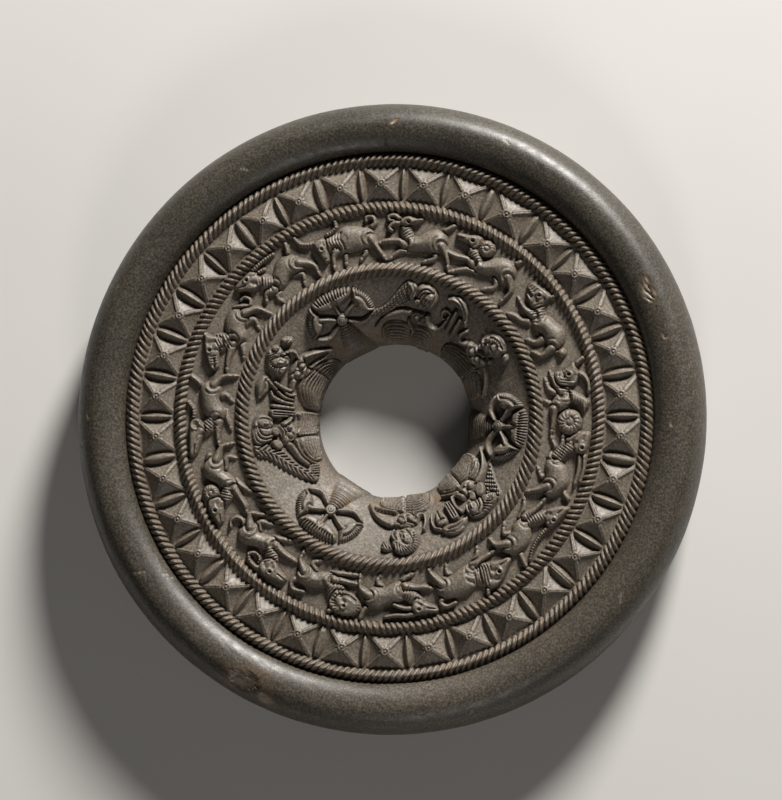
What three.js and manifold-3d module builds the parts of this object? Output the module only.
import * as THREE from "three";
import Module from "manifold-3d";
import { mergeVertices } from "three/addons/utils/BufferGeometryUtils.js";

// A carved steatite ringstone, lying flat with its carved face up.
// Millimetres, +Z up. The origin is the centre of the flat underside.
// Angles are in degrees, clockwise from +Y as seen from above.

// Widths of the rings, counted outward from the hole
const boreRadius = 14.8;
const mouthWidth = 11.8;
const innerRopeWidth = 2.9;
const animalBandWidth = 9;
const middleRopeWidth = 2.6;
const pyramidBandWidth = 6.5;
const outerRopeWidth = 2.7;
const rimWidth = 9.7;

// Heights
const fieldHeight = 13.6;
const neckHeight = 1.8;
const rimRise = 3.4;
const ropeRise = 1.25;
const ropeGrooveDepth = 0.5;
const rimBellyHeight = 9.8;
const footInset = 9;
const boreChamfer = 0.7;

// Counts
const outerRopeStrands = 76;
const middleRopeStrands = 68;
const innerRopeStrands = 46;
const pyramidCount = 34;
const rimColumns = 48;
const mouthColumns = 28;
const mouthRows = 4;
const rimRows = 5;

// Carving on the pyramid band
const pyramidHeight = 2;
const pyramidSpread = 6.3;
const bossRadius = 0.6;
const bossRise = 0.25;
const leafHalfWidth = 0.8;
const leafHeight = 1.1;
const bandClearance = 0.15;

// The pyramids are spaced by eye: [place round the ring, how far the row runs ahead there]
const pyramidDrift = [
  [0, 1.1], [30, 1.3], [41, 3.1], [60, 3.2], [90, 2.9], [130, 2.6], [150, 2.9], [180, 3.5],
  [210, 3.9], [225, 4.2], [240, 3.9], [255, 3.8], [270, 3.2], [300, 2.3], [330, 1.8], [360, 1.1],
];

// Height of the figures above their ground, and the depth they are rooted below it
const animalRelief = 1.5;
const friezeRelief = 1.35;
const rootDepth = 0.45;

// Chips broken out of the rim: angle, place across the rim, half length, half width, depth
const rimChips = [
  { angle: 208, across: 0.62, halfLength: 4.2, halfWidth: 2.6, depth: 0.9, turn: 12 },
  { angle: 65, across: 0.42, halfLength: 2.2, halfWidth: 1.2, depth: 0.5, turn: -20 },
];

// Radii that follow from the widths
const mouthRadius = boreRadius + mouthWidth;
const animalInner = mouthRadius + innerRopeWidth;
const animalOuter = animalInner + animalBandWidth;
const pyramidInner = animalOuter + middleRopeWidth;
const pyramidOuter = pyramidInner + pyramidBandWidth;
const rimInner = pyramidOuter + outerRopeWidth;
const rimOuter = rimInner + rimWidth;
const mouthDrop = fieldHeight - neckHeight;
const degree = Math.PI / 180;

const wasm = await Module();
wasm.setup();

function polar(angle, radius, height) {
  return [radius * Math.sin(angle * degree), radius * Math.cos(angle * degree), height];
}

// Triangles that shrank to a line or a point when their corners were merged are left out
function wholeTriangles(index) {
  const kept = [];
  for (let i = 0; i < index.length; i += 3) {
    const [a, b, c] = index.slice(i, i + 3);
    if (a !== b && b !== c && c !== a) {
      kept.push(a, b, c);
    }
  }
  return kept;
}

// A closed solid from its points and triangles, turned right side out
function solid(points, triangles) {
  const geometry = new THREE.BufferGeometry();
  geometry.setAttribute("position", new THREE.Float32BufferAttribute(points.flat(), 3));
  geometry.setIndex(triangles.flat());
  const merged = mergeVertices(geometry, 1e-5);
  const place = merged.attributes.position;
  const index = wholeTriangles(merged.index.array);
  const corner = [0, 1, 2].map(() => new THREE.Vector3());
  let volume = 0;
  for (let i = 0; i < index.length; i += 3) {
    corner.forEach((c, k) => c.fromBufferAttribute(place, index[i + k]));
    volume += corner[0].dot(corner[1].cross(corner[2]));
  }
  if (volume < 0) {
    index.reverse();
  }
  const mesh = { numProp: 3, vertProperties: place.array, triVerts: new Uint32Array(index) };
  return new wasm.Manifold(new wasm.Mesh(mesh));
}

function join(solids) {
  return solids.reduce((whole, piece) => whole.add(piece));
}

// Rings of points, stitched one to the next into one closed skin

function ring(count, radius, height, shift = 0) {
  return Array.from({ length: count }, (_, i) => ({
    angle: (i + shift) * 360 / count,
    radius,
    height,
  }));
}

// The crest of a rope: strands and the grooves between them in turn
function ropeCrest(strands, radius) {
  return Array.from({ length: 2 * strands }, (_, i) => ({
    angle: i * 180 / strands,
    radius,
    height: fieldHeight + ropeRise - (i % 2 ? 0 : ropeGrooveDepth),
  }));
}

// A rope lies between two foot rings, which are shifted so that its strands lean
function rope(strands, inner, width, lean) {
  return [
    ring(strands, inner, fieldHeight, -lean),
    ropeCrest(strands, inner + width / 2),
    ring(strands, inner + width, fieldHeight, lean),
  ];
}

function stitch(from, to, fromStart, toStart, triangles) {
  const turned = (row, i) => row[i % row.length].angle + 360 * Math.floor(i / row.length);
  let i = 0;
  let j = 0;
  while (i < from.length || j < to.length) {
    const stepFrom = Math.abs(turned(from, i + 1) - turned(to, j));
    const stepTo = Math.abs(turned(to, j + 1) - turned(from, i));
    const a = fromStart + i % from.length;
    const b = toStart + j % to.length;
    if (j === to.length || (i < from.length && stepFrom <= stepTo)) {
      i += 1;
      triangles.push([a, fromStart + i % from.length, b]);
    } else {
      j += 1;
      triangles.push([a, toStart + j % to.length, b]);
    }
  }
}

function skin(rows) {
  const points = [];
  const starts = [];
  for (const row of rows) {
    starts.push(points.length);
    row.forEach((p) => points.push(polar(p.angle, p.radius, p.height)));
  }
  const triangles = [];
  rows.forEach((row, k) => {
    const next = (k + 1) % rows.length;
    stitch(row, rows[next], starts[k], starts[next], triangles);
  });
  return solid(points, triangles);
}

// The bell mouth curves from the field (turn 0) down to the neck of the hole (turn 90)
function mouthPoint(turn, lift) {
  const sine = Math.sin(turn * degree);
  const cosine = Math.cos(turn * degree);
  const steepness = Math.hypot(mouthDrop * sine, mouthWidth * cosine);
  return {
    radius: mouthRadius - mouthWidth * sine - lift * mouthDrop * sine / steepness,
    height: neckHeight + mouthDrop * cosine + lift * mouthWidth * cosine / steepness,
  };
}

function mouthRings() {
  const rows = [];
  for (let k = mouthRows; k > 0; k -= 1) {
    const p = mouthPoint(90 * k / mouthRows, 0);
    rows.push(ring(mouthColumns, p.radius, p.height));
  }
  return rows;
}

// The rim is a half-round bolster inside, and rolls over its belly to the smaller foot
function rimRings() {
  const half = rimWidth / 2;
  const crest = rimInner + half;
  const rows = [];
  for (let k = 1; k <= rimRows; k += 1) {
    const turn = 180 * k / (rimRows + 1);
    const rise = rimRise * Math.sin(turn * degree);
    const radius = crest - half * Math.cos(turn * degree);
    const outward = Math.max(0, turn / 90 - 1);
    const fall = (fieldHeight - rimBellyHeight) * outward ** 2;
    rows.push(ring(rimColumns, radius, fieldHeight + rise - fall));
  }
  rows.push(ring(rimColumns, rimOuter, rimBellyHeight));
  for (const turn of [35, 65]) {
    const radius = rimOuter - footInset * (1 - Math.cos(turn * degree));
    rows.push(ring(rimColumns, radius, rimBellyHeight * (1 - Math.sin(turn * degree))));
  }
  rows.push(ring(rimColumns, rimOuter - footInset, 0));
  return rows;
}

function blank() {
  return skin([
    ring(mouthColumns, boreRadius + boreChamfer, 0),
    ring(mouthColumns, boreRadius, boreChamfer),
    ...mouthRings(),
    ...rope(innerRopeStrands, mouthRadius, innerRopeWidth, 0.5),
    ...rope(middleRopeStrands, animalOuter, middleRopeWidth, -0.5),
    ...rope(outerRopeStrands, pyramidOuter, outerRopeWidth, 0.5),
    ...rimRings(),
  ]);
}

// Relief. A ground turns a place (angle, distance along the face, lift) into a point.

function onField(angle, along, lift) {
  return polar(angle, along, fieldHeight + lift);
}

// On the bell mouth, along runs from 0 at the neck to 1 at the field
function onMouth(angle, along, lift) {
  const p = mouthPoint(90 * (1 - along), lift);
  return polar(angle, p.radius, p.height);
}

const mouthLength = Math.PI / 4 * (mouthWidth + mouthDrop);
const field = { place: onField, alongScale: 1, radiusAt: (along) => along };
const mouth = {
  place: onMouth,
  alongScale: mouthLength,
  radiusAt: (along) => mouthPoint(90 * (1 - along), 0).radius,
};

// Sections across a ridge, between its two rooted edges: share of half width, share of height
const keel = [[0, 1]];
const rounded = [[-0.55, 0.9], [0.35, 1]];

// A ridge follows its stations: { angle, along, half, height }. One of no width is a rooted tip.
function ridge(ground, stations, section) {
  const metric = stations.map((s) => ground.radiusAt(s.along) * degree);
  const sections = stations.map((s, i) => {
    const before = stations[Math.max(0, i - 1)];
    const after = stations[Math.min(stations.length - 1, i + 1)];
    const du = (after.angle - before.angle) * metric[i];
    const dv = (after.along - before.along) * ground.alongScale;
    const length = Math.hypot(du, dv);
    const across = (share, lift) => ground.place(
      s.angle - dv / length * s.half * share / metric[i],
      s.along + du / length * s.half * share / ground.alongScale,
      lift,
    );
    return [
      across(-1, -rootDepth),
      ...section.map(([share, level]) => across(share, s.half ? level * s.height : -rootDepth)),
      across(1, -rootDepth),
    ];
  });
  const around = sections[0].length;
  const triangles = [];
  for (let i = 0; i + 1 < sections.length; i += 1) {
    for (let k = 0; k < around; k += 1) {
      const a = i * around + k;
      const b = i * around + (k + 1) % around;
      triangles.push([a, b, a + around], [b, b + around, a + around]);
    }
  }
  const last = (sections.length - 1) * around;
  for (let k = 1; k + 1 < around; k += 1) {
    triangles.push([0, k + 1, k], [last, last + k, last + k + 1]);
  }
  return solid(sections.flat(), triangles);
}

// A low round boss that rises a little to its middle
function boss(ground, angle, along, radius, height, sides) {
  const metric = ground.radiusAt(along) * degree;
  const circle = (share, lift) => Array.from({ length: sides }, (_, k) => {
    const turn = (k + 0.5) * 2 * Math.PI / sides;
    return ground.place(
      angle + radius * share * Math.cos(turn) / metric,
      along + radius * share * Math.sin(turn) / ground.alongScale,
      lift,
    );
  });
  const points = [
    ...circle(1, -rootDepth),
    ...circle(0.8, 0.9 * height),
    ground.place(angle, along, -rootDepth),
    ground.place(angle, along, height),
  ];
  const triangles = [];
  for (let k = 0; k < sides; k += 1) {
    const next = (k + 1) % sides;
    triangles.push([k, next, sides + k], [next, sides + next, sides + k]);
    triangles.push([next, k, 2 * sides], [sides + k, sides + next, 2 * sides + 1]);
  }
  return solid(points, triangles);
}

// Pyramid band

// A four-sided pyramid with a small blunt boss for its apex
function pyramid(angle) {
  const middle = (pyramidInner + pyramidOuter) / 2;
  const halfAcross = pyramidSpread / 2;
  const halfAlong = pyramidBandWidth / 2 - bandClearance;
  const metric = middle * degree;
  const at = (u, v, lift) => onField(angle + u / metric, middle + v, lift);
  const square = [[1, 1], [-1, 1], [-1, -1], [1, -1]];
  const points = [
    ...square.map(([u, v]) => at(u * halfAcross, v * halfAlong, -rootDepth)),
    ...square.map(([u, v]) => at(u * bossRadius, v * bossRadius, pyramidHeight)),
    at(0, 0, pyramidHeight + bossRise),
  ];
  const triangles = [[0, 2, 1], [0, 3, 2]];
  for (let k = 0; k < 4; k += 1) {
    const next = (k + 1) % 4;
    triangles.push([k, next, 4 + k], [next, 4 + next, 4 + k], [4 + k, 4 + next, 8]);
  }
  return solid(points, triangles);
}

// A leaf lies between two pyramids, pointed at both ends
function leaf(angle) {
  const middle = (pyramidInner + pyramidOuter) / 2;
  const halfTurn = leafHalfWidth / (middle * degree);
  const points = [
    onField(angle, pyramidInner + bandClearance, -rootDepth / 2),
    onField(angle + halfTurn, middle, -rootDepth / 2),
    onField(angle, pyramidOuter - bandClearance, -rootDepth / 2),
    onField(angle - halfTurn, middle, -rootDepth / 2),
    onField(angle, middle, leafHeight),
  ];
  const triangles = [[0, 2, 1], [0, 3, 2], [0, 1, 4], [1, 2, 4], [2, 3, 4], [3, 0, 4]];
  return solid(points, triangles);
}

function driftAt(angle) {
  const turn = (angle + 360) % 360;
  const next = pyramidDrift.findIndex(([place]) => place > turn);
  const [fromPlace, fromDrift] = pyramidDrift[next - 1];
  const [toPlace, toDrift] = pyramidDrift[next];
  return fromDrift + ((toDrift - fromDrift) * (turn - fromPlace)) / (toPlace - fromPlace);
}

function pyramidAngle(k) {
  const even = ((k - 0.25) * 360) / pyramidCount;
  return even + driftAt(even + driftAt(even));
}

function pyramidBand() {
  const pieces = [];
  for (let k = 0; k < pyramidCount; k += 1) {
    pieces.push(pyramid(pyramidAngle(k)), leaf((pyramidAngle(k) + pyramidAngle(k + 1)) / 2));
  }
  return pieces;
}

// Animal band. Each animal is drawn on a grid with nine squares to the band's width:
// u runs clockwise from its middle and v outward from the inner rope. Body, neck and head
// stations are [u, v, half width]; the other strokes are [u, v] from root to tip.
const squares = 9;
const animals = [
  { // goat looking back
    at: 9,
    body: [[-2.2, 3.9, 1.4], [0.9, 4.9, 1.7], [3.7, 5.2, 1.7]],
    neck: [[-2.1, 4.6, 1.3], [-2.4, 6.8, 0.9]],
    head: [[-3.4, 7.7, 0.8], [-1.8, 7.9, 0.8], [0.1, 8.3, 0.4]],
    horns: [[[-3.2, 8], [-4.4, 8.7], [-5.6, 8.5]], [[-3.6, 7.4], [-5, 7.2], [-5.2, 6.2]]],
    tail: [[3.9, 6.4], [4.8, 7.6], [5.8, 8.8]],
    legs: [[[-2.4, 3.4], [-3.8, 4.2], [-7.8, 3.8]], [[-1.6, 2.8], [-4.2, 1.7], [-6, 0.4]],
      [[4.2, 3], [3.6, 1.2], [2, 0.5]], [[4.8, 4.6], [6.6, 2.6], [7.2, 0.5]]],
  },
  { // ram
    at: 31,
    body: [[-1.2, 4, 1.6], [2, 5.3, 1.7], [4.6, 5.8, 1.9]],
    neck: [[-1.2, 4.8, 1.3], [-2.6, 6.6, 1]],
    head: [[-3, 7.6, 0.9], [-4.4, 7.6, 0.8], [-6.2, 7, 0.4]],
    horns: [[[-2.6, 8.6], [-0.4, 8.8], [0.5, 7.4], [-0.6, 6.4]]],
    tail: [[4.8, 7.4], [5.2, 8.7], [6, 8.9]],
    legs: [[[-1.6, 3.4], [-3.2, 4], [-8, 3.5]], [[-0.6, 2.8], [-2.6, 1.8], [-5.4, 0.3]],
      [[3.8, 4], [4.7, 2.4], [2.8, 0.3]], [[5.6, 4.4], [7.5, 3], [7.9, 0.5]]],
  },
  { // lion
    at: 58,
    body: [[-0.4, 4.5, 1.8], [2.2, 5.1, 1.5], [4.4, 5, 1.9]],
    neck: [[-0.6, 5, 1.6], [-2.6, 6.4, 1.5]],
    head: [[-2.8, 6.8, 1.4], [-4.8, 6.8, 1.4], [-6.6, 6.3, 0.8]],
    horns: [[[-2.2, 7.8], [-2, 8.9]]],
    tail: [[5.2, 4.8], [7.8, 4], [8.4, 5.2], [7, 5.7]],
    legs: [[[-1, 3.2], [-4, 3.1], [-6.8, 3.7]], [[-0.6, 2.8], [-2.6, 1.5], [-5.8, 0.3]],
      [[3.4, 3.4], [2.6, 1.6], [0.4, 0.3]], [[5.2, 3.8], [5.8, 2], [4.4, 0.4]]],
  },
  { // winged beast with a coiled tail
    at: 84,
    body: [[-1.6, 4.4, 1.5], [0.4, 3.4, 1.4], [3, 2.6, 1]],
    neck: [[-1.6, 4.6, 1.4], [-3.4, 6, 1.3]],
    head: [[-3.2, 6.2, 1.3], [-4.8, 6, 1.2], [-6.2, 6.2, 0.5]],
    horns: [[[-5.2, 6.8], [-6.6, 7.6], [-6.7, 9]], [[-1.4, 5.8], [0.6, 8.2], [2.6, 7.5]],
      [[-3.4, 7.2], [-2.4, 8.6], [-0.9, 8.9]]],
    tail: [[3.2, 2.4], [6.2, 3], [6.4, 5.6], [4, 6.6], [2.6, 4.8], [4.4, 4.2]],
    legs: [[[-1.8, 3.4], [-3.6, 2.6], [-6, 2.1]], [[-1.4, 3], [-3.4, 1.2], [-5.4, 0.4]],
      [[0.6, 2.4], [1.2, 1.2], [0.2, 0.2]], [[3, 2], [4.6, 1.2], [7, 1.4]]],
  },
  { // antelope with long horns
    at: 106,
    body: [[-0.6, 3.4, 1.8], [2, 4.6, 1.6], [4, 4.6, 1.7]],
    neck: [[-1.2, 3.6, 1.5], [-3.2, 6, 1.1]],
    head: [[-3.6, 7.3, 1], [-5.2, 7.2, 0.8], [-6.6, 7.8, 0.4]],
    horns: [[[-3.2, 8.5], [-0.6, 8.9], [1.8, 8.9]], [[-2.6, 7.6], [0, 8], [2.4, 8.1]]],
    tail: [[4, 5.8], [4.7, 7], [5.4, 7.7]],
    legs: [[[-1.4, 3.4], [-4, 4], [-6.2, 3.2]], [[-1.2, 2.4], [-3.6, 2.2], [-6, 0.6]],
      [[2.8, 3.2], [2.8, 1.4], [0.8, 0.1]], [[4.8, 3.2], [6.2, 1.8], [7.2, 0.1]]],
  },
  { // ibex
    at: 129,
    body: [[-0.4, 3.2, 1.7], [2, 4.4, 1.6], [4.2, 4.6, 1.8]],
    neck: [[-1.4, 3.4, 1.5], [-3.2, 5.6, 1.1]],
    head: [[-3.4, 7, 1], [-5, 7.2, 0.8], [-6.9, 7.9, 0.4]],
    horns: [[[-2.8, 7.8], [-0.6, 7.6], [1.6, 7.6], [4.2, 8.3]]],
    tail: [[4.2, 6], [4.6, 7.2], [4.8, 8.3]],
    legs: [[[-1.4, 2.8], [-4, 3.6], [-7, 3.9]], [[-1, 2], [-3.4, 1.2], [-5, 0.1]],
      [[2.6, 3], [3.5, 1.5], [2, 0.1]], [[4.8, 3.2], [6.4, 1.8], [6.4, 0.1]]],
  },
  { // maned horse
    at: 153,
    body: [[-0.6, 4.6, 1.9], [2, 4.9, 1.7], [4.8, 4.6, 1.9]],
    neck: [[-1, 4.8, 1.8], [-3.2, 6.4, 1.7]],
    head: [[-3.4, 7.2, 1.4], [-5.4, 6.4, 1.1], [-8, 5.3, 0.6]],
    horns: [[[-2.6, 8], [-1.4, 8.9]]],
    tail: [[4.6, 6], [4.8, 8.4], [7.2, 8.5], [6.8, 6.4]],
    legs: [[[-1.4, 3], [-3.6, 3.1], [-5.8, 2.5]], [[-1, 2.6], [-2.2, 1.2], [-3, 0.1]],
      [[3.4, 3.2], [3.7, 1.8], [3.2, 0.3]], [[5.4, 3.4], [7, 1.6], [7, 0.1]]],
  },
  { // antelope with slender horns
    at: 177,
    body: [[-0.6, 3.6, 1.8], [2, 4.8, 1.6], [4.4, 4.6, 1.7]],
    neck: [[-1.2, 3.8, 1.5], [-3, 6, 1.1]],
    head: [[-3, 6.9, 0.9], [-4.6, 7.1, 0.7], [-6.4, 7.6, 0.4]],
    horns: [[[-3.6, 7.8], [-1, 8.3], [2, 8.2]], [[-1.9, 7.2], [-0.4, 6.8], [1.2, 6.3]]],
    tail: [[4.6, 6], [4.8, 7.4], [6.4, 8.6]],
    legs: [[[-1.2, 3.2], [-3.6, 4], [-6.4, 4.2]], [[-0.6, 2.4], [-2.6, 0.9], [-4.4, 0.1]],
      [[3, 3.4], [4.8, 2], [4, 0.2]], [[5.2, 3.4], [7.4, 2], [7.8, 0.1]]],
  },
  { // lion, its head turned to the viewer
    at: 202,
    body: [[-0.8, 3.4, 1.7], [1.6, 4.4, 1.6], [3.6, 4.2, 1.7]],
    neck: [[-0.9, 3.9, 1.6], [-3, 5.8, 1.7]],
    head: [[-3.6, 6.9, 1.6], [-5.6, 6.9, 1.7], [-7, 6.4, 0.9]],
    horns: [[[-3.8, 8], [-3.2, 9]]],
    tail: [[4, 5.2], [4.9, 6.4], [4.4, 7.6], [2.6, 8]],
    legs: [[[-1.6, 2.6], [-4.2, 2.9], [-7, 3]], [[-0.6, 2], [-2.8, 0.9], [-5, 0.1]],
      [[2.6, 3], [3.4, 1.5], [1.2, 0.3]], [[4, 3.2], [5.6, 2], [6.2, 0.1]]],
  },
  { // buffalo
    at: 225,
    body: [[-0.6, 3.8, 1.8], [1.8, 5.1, 1.7], [3.6, 5.3, 1.9]],
    neck: [[-1.2, 4, 1.6], [-3, 6, 1.3]],
    head: [[-3.4, 7.4, 1.2], [-5.2, 7.4, 1.1], [-7.3, 7, 0.6]],
    horns: [[[-2.9, 7.7], [-1, 7], [0.4, 7.2], [0.1, 8.5]]],
    tail: [[3.8, 7], [5.4, 7.4], [6.7, 6.4], [6, 4.7]],
    legs: [[[-1.4, 2.8], [-4.2, 3.3], [-7, 3.4]], [[-0.8, 2.2], [-3, 1.2], [-5, 0.1]],
      [[2.8, 3.8], [4, 2.2], [1.4, 0.2]], [[4.4, 3.8], [5.2, 2], [3.6, 0.4]]],
  },
  { // ram
    at: 249,
    body: [[-0.4, 3.9, 1.7], [1.8, 5, 1.6], [3.6, 5, 1.8]],
    neck: [[-1.2, 4.1, 1.5], [-3, 6, 1.1]],
    head: [[-3.4, 7.7, 1], [-4.8, 7.9, 0.8], [-6.3, 7.9, 0.5]],
    horns: [[[-3, 8.5], [-1.2, 8.6], [0, 7.2], [-1.2, 6.2]]],
    tail: [[3.8, 6.6], [5, 6.5], [6, 5.7]],
    legs: [[[-1.4, 2.8], [-4, 3], [-7, 3]], [[-0.6, 2.2], [-3, 1.2], [-5, 0.1]],
      [[2.8, 3.4], [3, 2], [1.6, 0.4]], [[4.4, 3.6], [5.6, 2.6], [6.8, 0.1]]],
  },
  { // ibex
    at: 272,
    body: [[-0.8, 3.8, 1.8], [1.8, 4.8, 1.6], [4, 5, 1.9]],
    neck: [[-1.2, 4, 1.5], [-3.2, 5.8, 1.2]],
    head: [[-3, 7.1, 1.1], [-4.8, 7.1, 0.9], [-7.2, 8, 0.4]],
    horns: [[[-2.4, 8.2], [-1, 7.9], [0.4, 8.2], [1.7, 8.8]]],
    tail: [[4, 6.6], [4.8, 7.6], [5.6, 8.8]],
    legs: [[[-1.4, 2.8], [-4.2, 3.2], [-6.6, 3.2]], [[-0.4, 2], [-2.6, 1.2], [-5, 0.1]],
      [[3.2, 3.4], [4, 1.8], [2.6, 0.2]], [[5, 4], [6.4, 2.4], [7.2, 0.2]]],
  },
  { // horse with its head low
    at: 299,
    body: [[-0.8, 4, 1.8], [1.6, 4.8, 1.6], [3.6, 4.6, 1.8]],
    neck: [[-1, 4.4, 1.6], [-2.6, 6.4, 1.4]],
    head: [[-3.2, 7.2, 1.3], [-5.2, 6.4, 1], [-7.6, 5.1, 0.6]],
    horns: [[[-2.8, 7.9], [-2.6, 8.9]]],
    tail: [[4, 6], [5.4, 6.2], [6.4, 5.4], [5.6, 4.2]],
    legs: [[[-1.6, 3.2], [-4.8, 3.5], [-7.4, 2.8]], [[-1, 2.2], [-3.6, 1.2], [-6, 0.5]],
      [[2.4, 3.2], [3.9, 2.2], [3.2, 0.2]], [[4.6, 4], [6, 2.6], [6.8, 0.5]]],
  },
  { // antelope
    at: 322,
    body: [[-0.6, 4, 1.7], [1.8, 5, 1.6], [4, 4.9, 1.7]],
    neck: [[-1, 4.2, 1.4], [-3, 6.2, 1.1]],
    head: [[-3.4, 7.6, 1], [-5.2, 7.8, 0.8], [-7.6, 7.6, 0.4]],
    horns: [[[-3.2, 8.6], [-1, 8.7], [1.4, 8.5]]],
    tail: [[3.8, 6.4], [3.9, 7.8], [4.2, 9]],
    legs: [[[-1.4, 3.2], [-3.8, 3.7], [-5.8, 2.3]], [[-0.8, 2.4], [-2.9, 1.6], [-2.8, 0.1]],
      [[2.4, 3.8], [4, 2.4], [3.4, 0.2]], [[4.8, 4], [6.7, 2.8], [6.6, 0.5]]],
  },
  { // humped bull with its head lowered
    at: 344,
    body: [[1, 5.4, 2.2], [3.4, 5.4, 1.9], [5.4, 5, 1.8]],
    neck: [[0.4, 5.6, 2], [-2.2, 5.4, 1.8]],
    head: [[-3, 6, 1.6], [-4.4, 4.6, 1.3], [-4.9, 2, 0.8]],
    horns: [[[-4.8, 6.6], [-6.8, 7.4], [-7.4, 9]], [[-3, 7.2], [-1, 7.5], [0.3, 9]]],
    tail: [[5.8, 6.4], [7.2, 7], [7.2, 8.8], [5.4, 8.4]],
    legs: [[[-0.4, 4.2], [-1, 2.4], [-1, 0.6]], [[0.9, 4], [0.5, 2.4], [0, 0.4]],
      [[4.2, 3.8], [4.9, 2.4], [2.4, 0.5]], [[6, 4], [7.2, 2.4], [8.2, 0.7]]],
  },
];

const legHalfWidth = 0.75;
const hornHalfWidth = 0.5;
const tailHalfWidth = 0.45;

function strokes(animal) {
  const square = animalBandWidth / squares;
  const middle = (animalInner + animalOuter) / 2;
  const station = (u, v, half, level) => ({
    angle: animal.at + u * square / (middle * degree),
    along: animalInner + v * square,
    half: half * square,
    height: level * animalRelief,
  });
  const mass = (list, level) => list.map(([u, v, half]) => station(u, v, half, level));
  const tapered = (list, half, level) => list.map(([u, v], i) => {
    const left = i + 1 < list.length ? 1 - 0.4 * i / list.length : 0;
    return station(u, v, half * left, level * left);
  });
  return [
    [mass(animal.body, 1), rounded],
    [mass([...animal.neck, ...animal.head.slice(1)], 1), keel],
    [tapered(animal.tail, tailHalfWidth, 0.7), keel],
    ...animal.horns.map((list) => [tapered(list, hornHalfWidth, 0.8), keel]),
    ...animal.legs.map((list) => [tapered(list, legHalfWidth, 0.9), keel]),
  ];
}

function animalBand() {
  return animals.flatMap((animal) => (
    strokes(animal).map(([stations, section]) => ridge(field, stations, section))
  ));
}

// Frieze on the bell mouth: three palms, and three couples between them.
// Strokes are [degrees from the figure's middle, height share, half width, level share].

function carve(middle, list, section) {
  const stations = list.map(([turn, along, half, level]) => (
    { angle: middle + turn, along, half, height: level * friezeRelief }
  ));
  return ridge(mouth, stations, section);
}

const palmAngles = [94, 214, 334];
const trunkRidges = 2;

function palm(middle) {
  const trunk = [];
  for (let k = 0; k <= 2 * trunkRidges; k += 1) {
    const share = k / (2 * trunkRidges);
    trunk.push([0, 0.08 + 0.54 * share, 1.7 - 0.9 * share, k % 2 ? 0.8 : 0.6]);
  }
  const leaves = (side) => [
    carve(middle, [[19.5 * side, 0.63, 0, 0], [18 * side, 0.72, 1, 0.9], [14.5 * side, 0.87, 1, 1],
      [9 * side, 0.98, 0, 0]], keel),
    carve(middle, [[17 * side, 0.62, 0, 0], [10 * side, 0.56, 0.8, 0.8], [3 * side, 0.64, 0, 0]], keel),
    carve(middle, [[14 * side, 0.75, 0.45, 0.5], [2 * side, 0.68, 0.35, 0.6]], keel),
  ];
  return [
    carve(middle, trunk, keel),
    carve(middle, [[-9.5, 0.97, 0, 0], [-4, 0.92, 1.1, 1], [4, 0.92, 1.1, 1], [9.5, 0.97, 0, 0]], keel),
    carve(middle, [[0, 0.88, 0.45, 0.6], [0, 0.7, 0.45, 0.6]], keel),
    ...leaves(-1),
    ...leaves(1),
    boss(mouth, middle, 0.67, 0.95, friezeRelief, 6),
  ];
}

// Angles of the woman and of her companion in each couple
const couples = [[15.5, 55], [136, 171.5], [264, 297.5]];
const pleats = 2;

// The skirt's section rises and falls once for each pleat
function pleated() {
  const section = [];
  for (let k = 0; k <= 2 * pleats; k += 1) {
    section.push([-0.9 + 1.8 * k / (2 * pleats), k % 2 ? 0.6 : 1]);
  }
  return section;
}

// Torso and head are one rounded form, narrow at the waist and the neck
function torso(middle, headTurn) {
  return carve(middle, [[0, 0.47, 1.3, 0.8], [0, 0.66, 2.3, 1], [0.5 * headTurn, 0.76, 0.8, 0.6],
    [headTurn, 0.83, 1.1, 1.1], [headTurn, 0.94, 0.6, 0.6]], rounded);
}

function skirt(middle, spread) {
  return carve(middle, [[0, 0.06, spread, 0.6], [0, 0.3, spread * 0.85, 0.8], [0, 0.5, 1.7, 0.9]],
    pleated());
}

function woman(middle) {
  return [
    skirt(middle, 3.3),
    torso(middle, 1),
    carve(middle, [[-4, 0.79, 0, 0], [-2.4, 0.92, 0.7, 1], [3, 0.96, 0.6, 1], [6, 0.82, 0, 0]], keel),
    boss(mouth, middle - 7, 0.745, 1.05, friezeRelief * 0.9, 5),
    carve(middle, [[-22, 0.58, 0, 0], [-12, 0.76, 1.6, 0.8], [-6, 0.92, 1.2, 0.8]], keel),
    carve(middle, [[-5.5, 0.66, 0.7, 0.85], [-13, 0.56, 0.65, 0.8], [-21, 0.5, 0, 0]], keel),
    carve(middle, [[5, 0.68, 0.7, 0.85], [8.5, 0.58, 0.6, 0.8], [11, 0.47, 0, 0]], keel),
  ];
}

function companion(middle) {
  return [
    skirt(middle, 3.4),
    torso(middle, -0.5),
    carve(middle, [[-4.5, 0.76, 0, 0], [-2.4, 0.92, 0.7, 1], [3, 0.96, 0.7, 1], [7, 0.84, 0, 0]], keel),
    boss(mouth, middle + 9.5, 0.89, 0.9, friezeRelief * 0.9, 5),
    carve(middle, [[-5.5, 0.68, 0.7, 0.85], [-10, 0.56, 0.6, 0.85], [-13, 0.66, 0.55, 0.8],
      [-13.5, 0.8, 0, 0]], keel),
    carve(middle, [[6, 0.68, 0.7, 0.9], [19, 0.58, 0.65, 0.85], [14, 0.44, 0, 0]], keel),
  ];
}

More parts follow.
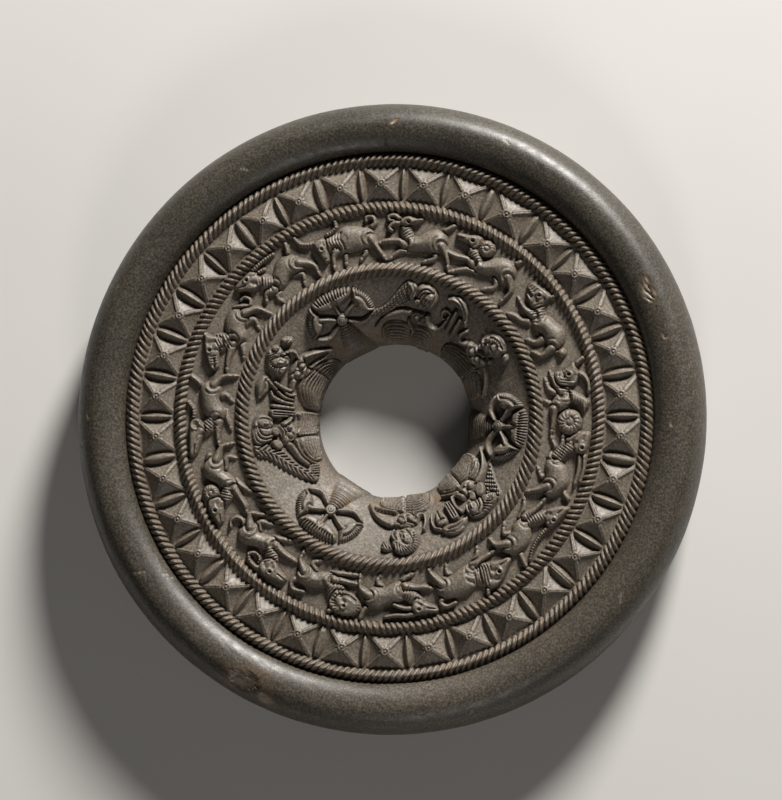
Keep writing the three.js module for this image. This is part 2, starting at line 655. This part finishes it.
// Between the two stand a tall bud on its stem and a sheaf
function offering(from, to) {
  const gap = to - from;
  return [
    carve(from, [[0.26 * gap, 0.93, 0, 0], [0.4 * gap, 0.93, 1.3, 1], [0.52 * gap, 0.84, 0.8, 0.9],
      [0.56 * gap, 0.74, 0, 0]], keel),
    carve(from, [[0.34 * gap, 0.5, 0.45, 0.8], [0.34 * gap, 0.66, 0.5, 0.8], [0.31 * gap, 0.8, 0, 0]],
      keel),
    carve(from, [[0.47 * gap, 0.5, 0.6, 0.8], [0.46 * gap, 0.66, 0.6, 0.8], [0.48 * gap, 0.8, 0, 0]],
      keel),
  ];
}

function mouthFrieze() {
  return [
    ...palmAngles.flatMap(palm),
    ...couples.flatMap(([from, to]) => [...woman(from), ...companion(to), ...offering(from, to)]),
  ];
}

// Chips

// A chip is a shallow faceted scoop laid against the rim
function chip({ angle, across, halfLength, halfWidth, depth, turn }) {
  const geometry = new THREE.IcosahedronGeometry(1, 0);
  geometry.deleteAttribute("normal");
  geometry.deleteAttribute("uv");
  const lobe = mergeVertices(geometry);
  const tilt = (across - 0.5) * 100;
  const radius = rimInner + rimWidth * across;
  const rise = rimRise * Math.sin(Math.PI * across);
  const outward = Math.max(0, 2 * across - 1);
  const top = fieldHeight + rise - (fieldHeight - rimBellyHeight) * outward ** 2;
  const scoop = new THREE.Object3D();
  scoop.position.set(...polar(angle, radius, top));
  scoop.rotation.order = "ZXY";
  scoop.rotation.set(-tilt * degree, 0, (turn - angle) * degree);
  scoop.scale.set(halfLength, halfWidth, depth);
  scoop.updateMatrix();
  lobe.applyMatrix4(scoop.matrix);
  const place = lobe.attributes.position;
  const points = Array.from({ length: place.count }, (_, i) => [
    place.getX(i), place.getY(i), place.getZ(i),
  ]);
  const triangles = Array.from({ length: lobe.index.count / 3 }, (_, i) => (
    Array.from(lobe.index.array.slice(3 * i, 3 * i + 3))
  ));
  return solid(points, triangles);
}

// The finished stone

function ringstone() {
  const relief = [...pyramidBand(), ...animalBand(), ...mouthFrieze()];
  let stone = blank().add(join(relief));
  for (const place of rimChips) {
    stone = stone.subtract(chip(place));
  }
  return stone;
}

const stoneMaterial = new THREE.MeshStandardMaterial({
  color: 0x8d8478,
  roughness: 0.55,
  metalness: 0,
});

function meshFrom(name, manifold, material) {
  const { vertProperties, triVerts } = manifold.getMesh();
  const geometry = new THREE.BufferGeometry();
  geometry.setAttribute("position", new THREE.BufferAttribute(new Float32Array(vertProperties), 3));
  geometry.setIndex(new THREE.BufferAttribute(new Uint32Array(triVerts), 1));
  geometry.computeVertexNormals();
  const mesh = new THREE.Mesh(geometry, material);
  mesh.name = name;
  return mesh;
}

const part = new THREE.Group();
part.add(meshFrom("ringstone", ringstone(), stoneMaterial));

export default part;
